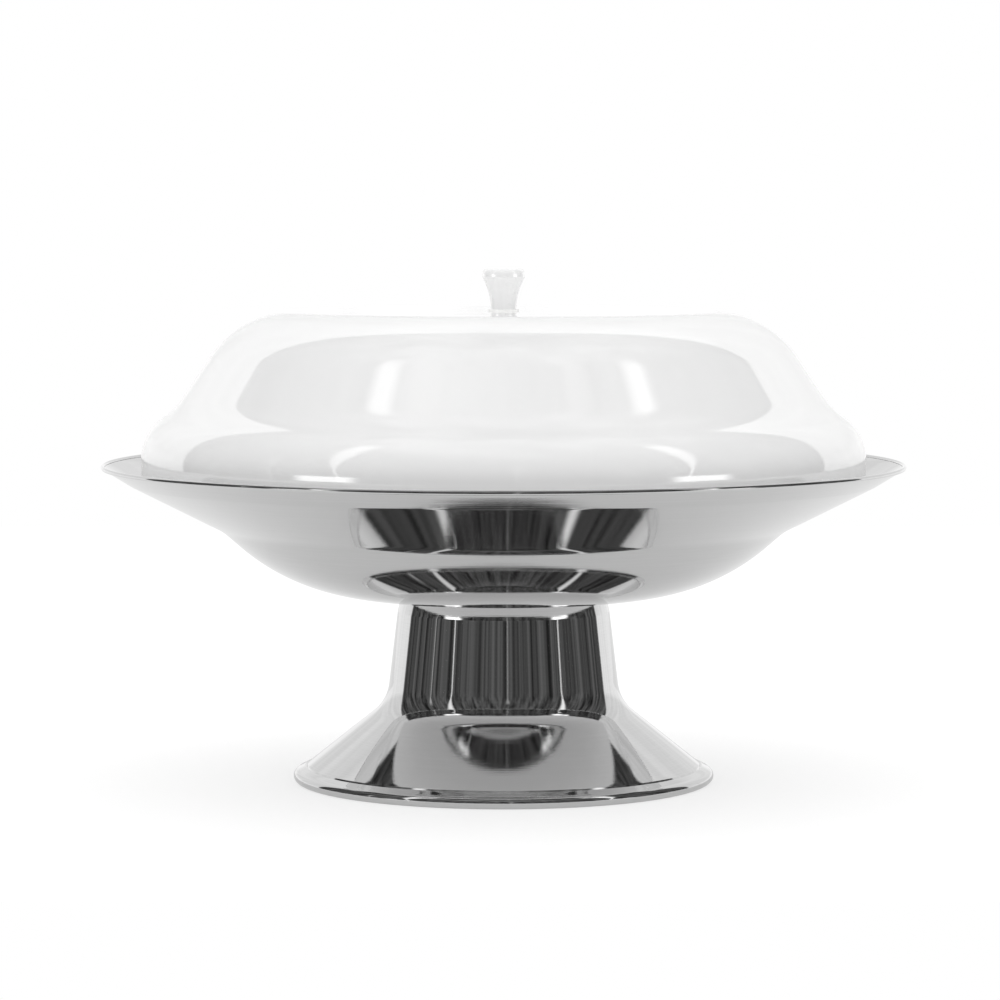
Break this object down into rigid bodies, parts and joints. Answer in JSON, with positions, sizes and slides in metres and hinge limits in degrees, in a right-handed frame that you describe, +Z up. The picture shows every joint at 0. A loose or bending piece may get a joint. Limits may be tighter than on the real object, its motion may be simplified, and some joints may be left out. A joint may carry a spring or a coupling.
{
  "type": "footed serving bowl with dome cover",
  "caption": "Round steel serving bowl on a flared steel pedestal, with a translucent plastic dome cover lifted by a small turned knob.",
  "frame": {"origin": "centre of the pedestal's foot, on the table surface", "axes": "+Z up along the axis of the bowl, pedestal and lid; X and Y level, with -Y towards the viewer"},
  "size_m": [0.4, 0.4, 0.2554],
  "materials": {
    "bowl_steel": "spun stainless steel, mirror polished",
    "pedestal_steel": "spun stainless steel, mirror polished, duller inside",
    "plate_steel": "mill-finish stainless steel",
    "fastener_steel": "bright stainless fasteners",
    "lid_plastic": "translucent milky white, glossy",
    "knob_plastic": "pale grey, glossy",
    "silicone": "translucent white silicone",
    "insert_brass": "turned brass"
  },
  "bodies": {
    "stand": {"bowl": "bowl_steel", "stud_plate": "plate_steel", "stand_stud": "fastener_steel", "bowl_gasket": "silicone", "pedestal": "pedestal_steel", "pedestal_top_plate": "plate_steel", "flat_washer": "fastener_steel", "spring_washer": "fastener_steel", "stand_nut": "fastener_steel"},
    "lid": {"lid_dome": "lid_plastic", "knob": "knob_plastic", "knob_insert": "insert_brass", "knob_gasket": "silicone", "screw_washer": "fastener_steel", "knob_screw": "fastener_steel"}
  },
  "joints": [
    {"name": "lid_lift", "type": "slide", "parent": "stand", "child": "lid", "axis": [0, 0, 1], "range_m": [0, 0.2]}
  ]
}
